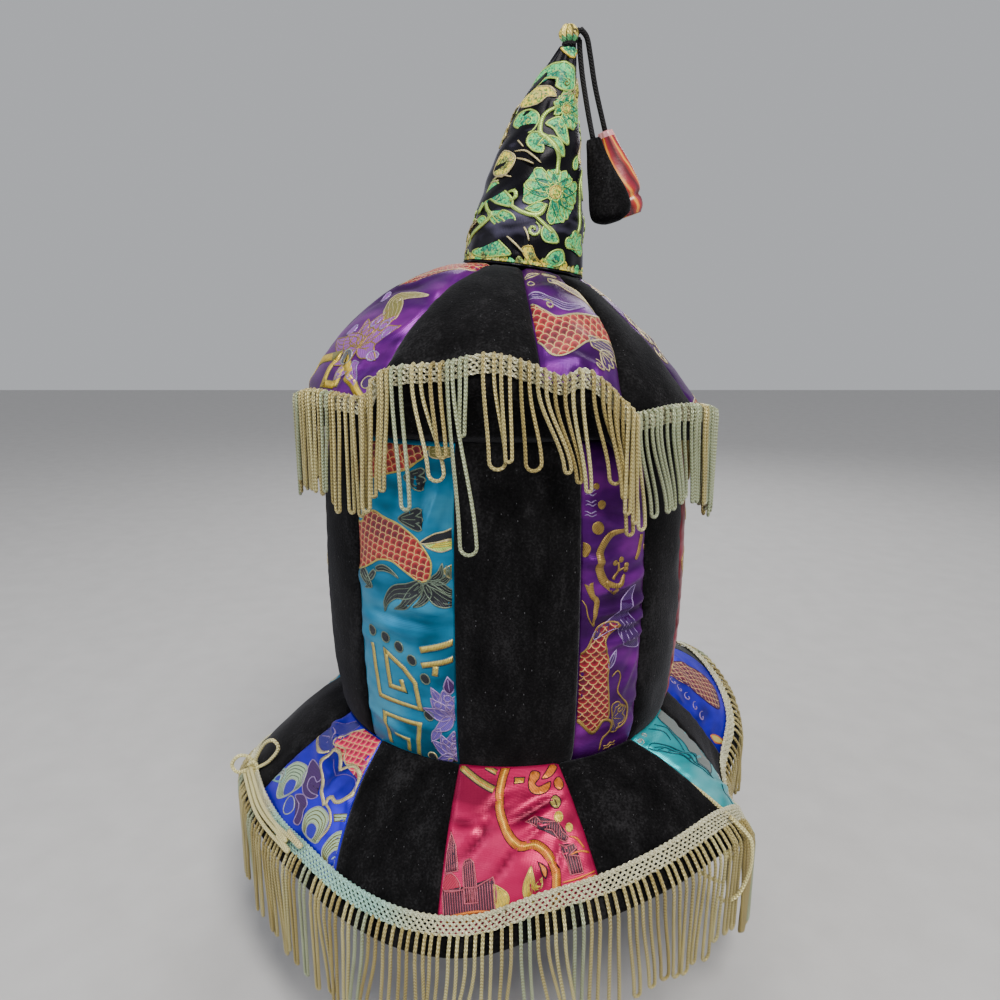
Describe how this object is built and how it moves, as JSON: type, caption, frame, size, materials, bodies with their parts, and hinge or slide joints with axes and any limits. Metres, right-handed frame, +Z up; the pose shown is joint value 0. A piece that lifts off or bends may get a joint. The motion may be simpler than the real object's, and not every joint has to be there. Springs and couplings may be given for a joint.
{
  "type": "jester hat",
  "caption": "Jester hat: velvet and brocade patchwork crown under a scalloped canopy, leaning stuffed spire with bag drops on cords, and a waved brim with looped fringe.",
  "frame": {"origin": "middle of the head opening, in the plane of the seam between crown and brim", "axes": "+Z up along the crown to the spire, -Y the front, +X to the right as seen from the front, which is the wearer's left"},
  "size_m": [0.3294, 0.316, 0.4854],
  "materials": {
    "velvet_black": "cotton velvet, matt with lint",
    "brocade_turquoise": "satin brocade",
    "brocade_purple": "satin brocade",
    "brocade_wine": "satin brocade",
    "brocade_royal_blue": "satin brocade",
    "brocade_crimson": "satin brocade",
    "brocade_aqua": "satin brocade",
    "fringe_gold": "rayon chainette, soft sheen",
    "satin_black": "black satin brocade",
    "brocade_gold": "metallic brocade",
    "cord_black": "braided cord, matt",
    "silk_flame": "printed silk"
  },
  "bodies": {
    "root": {"crown_panel_01": "velvet_black", "crown_panel_02": "brocade_turquoise", "crown_panel_03": "velvet_black", "crown_panel_04": "brocade_purple", "crown_panel_05": "velvet_black", "crown_panel_06": "brocade_wine", "crown_panel_07": "velvet_black", "crown_panel_08": "brocade_royal_blue", "crown_panel_09": "velvet_black", "crown_panel_10": "brocade_crimson", "crown_panel_11": "velvet_black", "crown_panel_12": "brocade_purple", "brim_panel_01": "brocade_royal_blue", "brim_panel_02": "velvet_black", "brim_panel_03": "brocade_crimson", "brim_panel_04": "velvet_black", "brim_panel_05": "brocade_aqua", "brim_panel_06": "velvet_black", "brim_panel_07": "brocade_royal_blue", "brim_panel_08": "velvet_black", "brim_panel_09": "brocade_purple", "brim_panel_10": "velvet_black", "brim_panel_11": "brocade_turquoise", "brim_panel_12": "velvet_black", "brim_facing": "velvet_black", "brim_fringe": "fringe_gold", "canopy_gore_1_left": "velvet_black", "canopy_gore_1_right": "brocade_purple", "canopy_rim_1": "velvet_black", "canopy_fringe_1": "fringe_gold", "canopy_gore_2_left": "velvet_black", "canopy_gore_2_right": "brocade_purple", "canopy_rim_2": "velvet_black", "canopy_fringe_2": "fringe_gold", "canopy_gore_3_left": "velvet_black", "canopy_gore_3_right": "brocade_turquoise", "canopy_rim_3": "velvet_black", "canopy_fringe_3": "fringe_gold", "canopy_gore_4_left": "velvet_black", "canopy_gore_4_right": "brocade_crimson", "canopy_rim_4": "velvet_black", "canopy_fringe_4": "fringe_gold", "canopy_gore_5_left": "velvet_black", "canopy_gore_5_right": "brocade_purple", "canopy_rim_5": "velvet_black", "canopy_fringe_5": "fringe_gold", "spire": "satin_black", "spire_tuft": "brocade_gold", "cord_front": "cord_black", "drop_front": "velvet_black", "cord_back": "cord_black", "drop_back": "silk_flame"}
  },
  "joints": []
}
